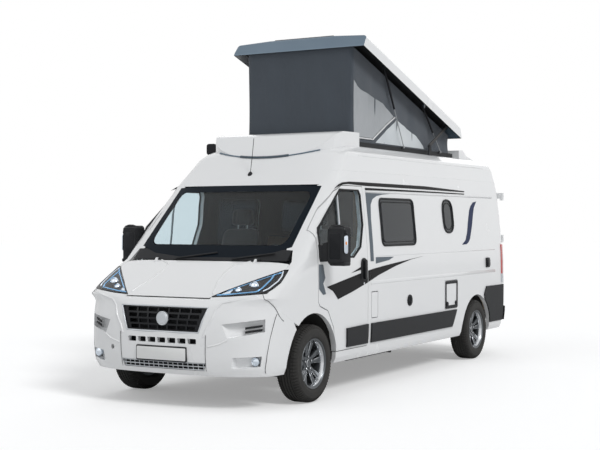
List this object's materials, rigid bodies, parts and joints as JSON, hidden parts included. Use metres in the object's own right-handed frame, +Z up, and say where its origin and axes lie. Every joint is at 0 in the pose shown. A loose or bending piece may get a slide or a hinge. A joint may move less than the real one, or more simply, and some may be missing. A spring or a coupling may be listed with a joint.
{
  "type": "camper van",
  "caption": "High-roof panel van converted to a camper, with a raised fabric-sided pop-up roof, hinged cab and rear doors, bonnet and service hatches, steering and rolling wheels.",
  "frame": {"origin": "on the ground, under the middle of the vehicle's length and width", "axes": "+X to the vehicle's left, +Y to its rear, +Z up"},
  "size_m": [2.508, 5.997, 3.561],
  "materials": {
    "white_paint": "gloss",
    "black_plastic": "matte",
    "grey_metal": "satin",
    "dark_metal": "matte",
    "tyre": "matte",
    "rim": "satin",
    "glass": "gloss",
    "lamp": "gloss",
    "red_lamp": "gloss",
    "canvas": "matte",
    "seat": "matte",
    "wood": "satin",
    "dark_window": "gloss"
  },
  "bodies": {
    "body": {"chassis": "dark_metal", "floor_pan": "dark_metal", "engine_block": "grey_metal", "wheel_liners": "black_plastic", "front_suspension": "dark_metal", "rear_axle": "dark_metal", "tanks": "black_plastic", "exhaust": "grey_metal", "front_bumper": "white_paint", "grille": "black_plastic", "headlamps": "lamp", "wings": "white_paint", "cowl": "black_plastic", "cab_frame": "white_paint", "windscreen": "glass", "wipers": "black_plastic", "side_panel_left": "white_paint", "side_panel_right": "white_paint", "sliding_door": "white_paint", "side_windows": "dark_window", "side_mouldings": "black_plastic", "rear_bumper": "black_plastic", "tail_lamps": "red_lamp", "roof_panel": "white_paint", "roof_fairings": "white_paint", "roof_rails": "black_plastic", "awning": "black_plastic", "canvas": "canvas", "dashboard": "black_plastic", "cab_seats": "seat", "furniture": "wood"},
    "steer_left": {"knuckle_left": "grey_metal"},
    "steer_right": {"knuckle_right": "grey_metal"},
    "wheel_front_left": {"tyre_front_left": "tyre", "rim_front_left": "rim"},
    "wheel_front_right": {"tyre_front_right": "tyre", "rim_front_right": "rim"},
    "wheel_rear_left": {"tyre_rear_left": "tyre", "rim_rear_left": "rim"},
    "wheel_rear_right": {"tyre_rear_right": "tyre", "rim_rear_right": "rim"},
    "bonnet": {"bonnet": "white_paint"},
    "cab_door_left": {"cab_door_left": "white_paint", "door_glass_left": "glass", "mirror_left": "black_plastic"},
    "cab_door_right": {"cab_door_right": "white_paint", "door_glass_right": "glass", "mirror_right": "black_plastic"},
    "rear_door_left": {"rear_door_left": "white_paint", "rear_glass_left": "glass"},
    "rear_door_right": {"rear_door_right": "white_paint", "rear_glass_right": "glass"},
    "fuel_flap": {"fuel_flap": "white_paint"},
    "service_hatch": {"service_hatch": "white_paint"},
    "lift_arms": {"lift_arms": "dark_metal"},
    "pop_roof": {"roof_shell": "white_paint"},
    "front_tubes": {"front_strut_tubes": "dark_metal"},
    "front_rods": {"front_strut_rods": "grey_metal"},
    "rear_tubes": {"rear_strut_tubes": "dark_metal"},
    "rear_rods": {"rear_strut_rods": "grey_metal"}
  },
  "joints": [
    {"name": "steer_left", "type": "hinge", "parent": "body", "child": "steer_left", "pos_m": [0.79, -2.051, 0.24], "axis": [-0.2392, 0, 0.971], "range_deg": [-35, 35]},
    {"name": "steer_right", "type": "hinge", "parent": "body", "child": "steer_right", "pos_m": [-0.79, -2.051, 0.24], "axis": [0.2392, 0, 0.971], "range_deg": [-35, 35]},
    {"name": "wheel_front_left_spin", "type": "hinge", "parent": "steer_left", "child": "wheel_front_left", "pos_m": [0.905, -2.051, 0.351], "axis": [1, 0, 0], "continuous": true},
    {"name": "wheel_front_right_spin", "type": "hinge", "parent": "steer_right", "child": "wheel_front_right", "pos_m": [-0.905, -2.051, 0.351], "axis": [1, 0, 0], "continuous": true},
    {"name": "wheel_rear_left_spin", "type": "hinge", "parent": "body", "child": "wheel_rear_left", "pos_m": [0.895, 1.984, 0.351], "axis": [1, 0, 0], "continuous": true},
    {"name": "wheel_rear_right_spin", "type": "hinge", "parent": "body", "child": "wheel_rear_right", "pos_m": [-0.895, 1.984, 0.351], "axis": [1, 0, 0], "continuous": true},
    {"name": "cab_door_left_hinge", "type": "hinge", "parent": "body", "child": "cab_door_left", "pos_m": [0.995, -1.95, 1.2], "axis": [0, 0, -1], "range_deg": [0, 70]},
    {"name": "rear_door_left_hinge", "type": "hinge", "parent": "body", "child": "rear_door_left", "pos_m": [0.963, 2.985, 1.3], "axis": [0, 0, -1], "range_deg": [0, 180]},
    {"name": "cab_door_right_hinge", "type": "hinge", "parent": "body", "child": "cab_door_right", "pos_m": [-0.995, -1.95, 1.2], "axis": [0, 0, 1], "range_deg": [0, 70]},
    {"name": "rear_door_right_hinge", "type": "hinge", "parent": "body", "child": "rear_door_right", "pos_m": [-0.963, 2.985, 1.3], "axis": [0, 0, 1], "range_deg": [0, 180]},
    {"name": "bonnet_hinge", "type": "hinge", "parent": "body", "child": "bonnet", "pos_m": [0, -2.30291, 1.285], "axis": [-1, 0, 0], "range_deg": [0, 50]},
    {"name": "fuel_flap_hinge", "type": "hinge", "parent": "body", "child": "fuel_flap", "pos_m": [0.998, -0.858, 0.81], "axis": [0, 0, -1], "range_deg": [0, 90]},
    {"name": "service_hatch_hinge", "type": "hinge", "parent": "body", "child": "service_hatch", "pos_m": [0.998, 1.184, 0.954], "axis": [0, -1, 0], "range_deg": [0, 100]},
    {"name": "roof_arm_hinge", "type": "hinge", "parent": "body", "child": "lift_arms", "pos_m": [0, 1.25, 2.5], "axis": [-1, 0, 0], "range_deg": [0, 28.47], "deforming": ["canvas"]},
    {"name": "roof_shell_hinge", "type": "hinge", "parent": "lift_arms", "child": "pop_roof", "pos_m": [0, 1.80867, 2.76887], "axis": [1, 0, 0], "range_deg": [0, 45.07]},
    {"name": "front_strut_hinge", "type": "hinge", "parent": "pop_roof", "child": "front_tubes", "pos_m": [0, 0.10818, 3.29876], "axis": [1, 0, 0], "range_deg": [0, 37.76]},
    {"name": "front_strut_slide", "type": "slide", "parent": "front_tubes", "child": "front_rods", "axis": [0, -0.526, 0.8505], "range_m": [0, 0.4491]},
    {"name": "rear_strut_hinge", "type": "hinge", "parent": "pop_roof", "child": "rear_tubes", "pos_m": [0, 1.14938, 2.94454], "axis": [1, 0, 0], "range_deg": [0, 27.23]},
    {"name": "rear_strut_slide", "type": "slide", "parent": "rear_tubes", "child": "rear_rods", "axis": [0, -0.7285, 0.685], "range_m": [0, 0.23188]}
  ],
  "couplings": [
    {"joint": "steer_right", "follows": "steer_left", "ratio": 1},
    {"joint": "roof_shell_hinge", "follows": "roof_arm_hinge", "ratio": 1.583},
    {"joint": "front_strut_hinge", "follows": "roof_arm_hinge", "ratio": 1.3261},
    {"joint": "front_strut_slide", "follows": "roof_arm_hinge", "m_per_rad": 0.90369},
    {"joint": "rear_strut_hinge", "follows": "roof_arm_hinge", "ratio": 0.95637},
    {"joint": "rear_strut_slide", "follows": "roof_arm_hinge", "m_per_rad": 0.4666}
  ]
}
